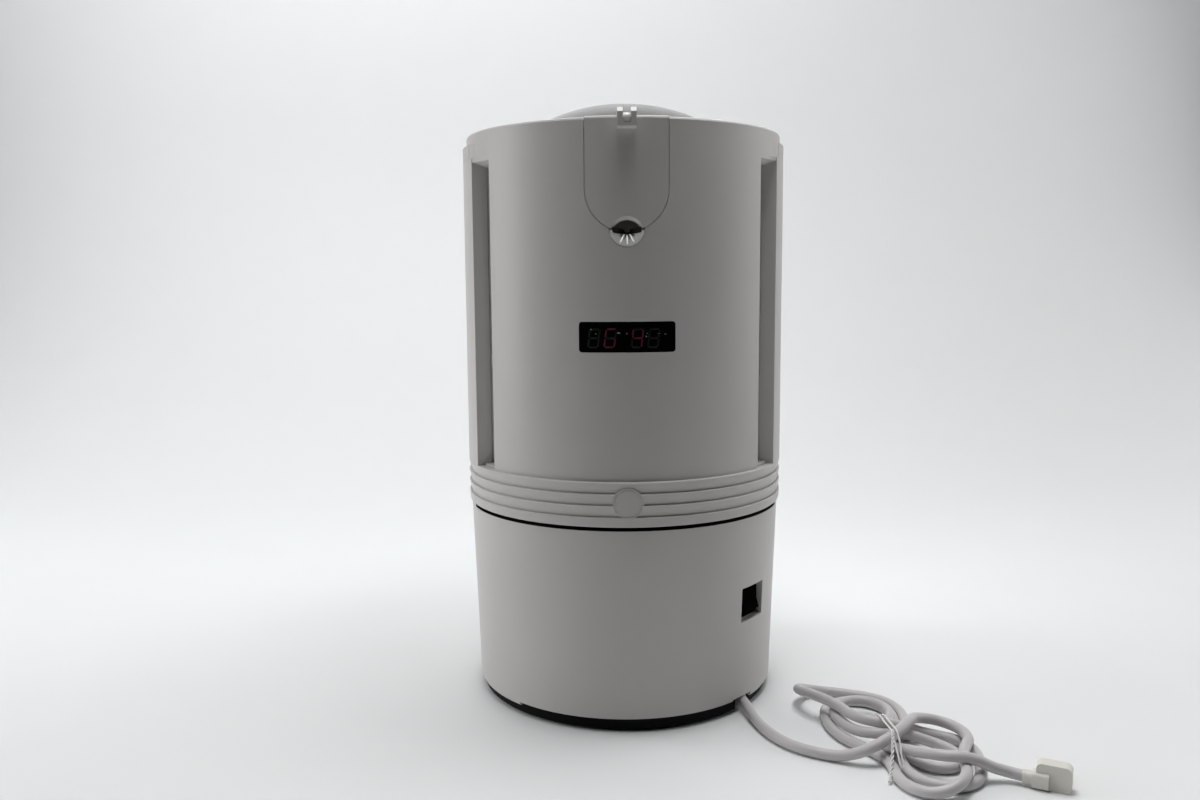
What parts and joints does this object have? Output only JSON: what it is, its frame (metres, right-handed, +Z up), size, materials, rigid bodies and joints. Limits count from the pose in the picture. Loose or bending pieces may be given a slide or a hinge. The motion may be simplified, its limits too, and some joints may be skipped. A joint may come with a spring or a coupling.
{
  "type": "filament dryer",
  "caption": "Round upright filament dryer with a domed hinged lid, tongued filament outlet, turntable chamber, heated fan base, rocker switch and mains cord.",
  "frame": {"origin": "on the floor under the axis of the round body", "axes": "+Z up along the body's axis, -Y towards the front with the display and the outlet, +X to the side with the power switch"},
  "size_m": [0.3852, 0.3274, 0.431],
  "materials": {
    "white_plastic": "fine satin texture",
    "black_plastic": "matte",
    "smoke_window": "smoked clear acrylic",
    "black_gloss": "gloss",
    "inner_plastic": "satin",
    "rubber": "matte",
    "grey_rubber": "matte",
    "steel": "bright",
    "aluminium": "mill",
    "brass": "bright",
    "board": "solder mask",
    "outlet_gloss": "polished",
    "cord_pvc": "soft satin PVC",
    "heater_plastic": "matte"
  },
  "bodies": {
    "housing": {"base_shell": "white_plastic", "base_tray": "black_plastic", "rubber_feet": "rubber", "base_screws": "steel", "ribbed_band": "white_plastic", "front_cover": "white_plastic", "rear_cover": "white_plastic", "chamber_liner": "inner_plastic", "chamber_floor": "inner_plastic", "floor_screws": "steel", "display_window": "black_gloss", "display_board": "board", "led_module": "black_gloss", "switch_housing": "black_plastic", "switch_terminals": "brass", "control_board": "board", "board_components": "black_plastic", "terminal_block": "board", "fan_frame": "black_plastic", "heater_frame": "heater_plastic", "heater_core": "aluminium", "thermal_cutout": "steel", "air_duct": "aluminium", "stack_screws": "steel", "air_sensor": "inner_plastic", "spindle": "steel", "bearing_inner": "steel", "hinge_pin": "steel", "outlet_bell": "outlet_gloss", "cord_gland": "cord_pvc", "cord_lead": "cord_pvc", "cord_hank": "cord_pvc", "cord_tail": "cord_pvc", "plug_body": "cord_pvc", "plug_pins": "brass"},
    "lid": {"lid_frame": "white_plastic", "lid_dome": "smoke_window", "dome_retainer": "inner_plastic", "dome_screws": "steel", "lid_gasket": "grey_rubber", "filament_guide": "white_plastic", "roller_pin": "steel"},
    "roller": {"guide_roller": "steel"},
    "turntable": {"turntable": "inner_plastic", "bearing_outer": "steel", "bearing_balls": "steel"},
    "fan": {"fan_rotor": "black_plastic"},
    "rocker": {"switch_rocker": "black_plastic"}
  },
  "joints": [
    {"name": "lid_hinge", "type": "hinge", "parent": "housing", "child": "lid", "pos_m": [0, 0.119, 0.4034], "axis": [-1, 0, 0], "range_deg": [0, 100]},
    {"name": "roller_spin", "type": "hinge", "parent": "lid", "child": "roller", "pos_m": [0, -0.1183, 0.4049], "axis": [1, 0, 0], "continuous": true},
    {"name": "turntable_spin", "type": "hinge", "parent": "housing", "child": "turntable", "pos_m": [0, 0, 0.1584], "axis": [0, 0, 1], "continuous": true},
    {"name": "fan_spin", "type": "hinge", "parent": "housing", "child": "fan", "pos_m": [0, 0, 0.042], "axis": [0, 0, 1], "continuous": true},
    {"name": "switch_rock", "type": "hinge", "parent": "housing", "child": "rocker", "pos_m": [0.08218, -0.06374, 0.078], "axis": [0.6129, 0.7902, 0], "range_deg": [0, 16]}
  ]
}
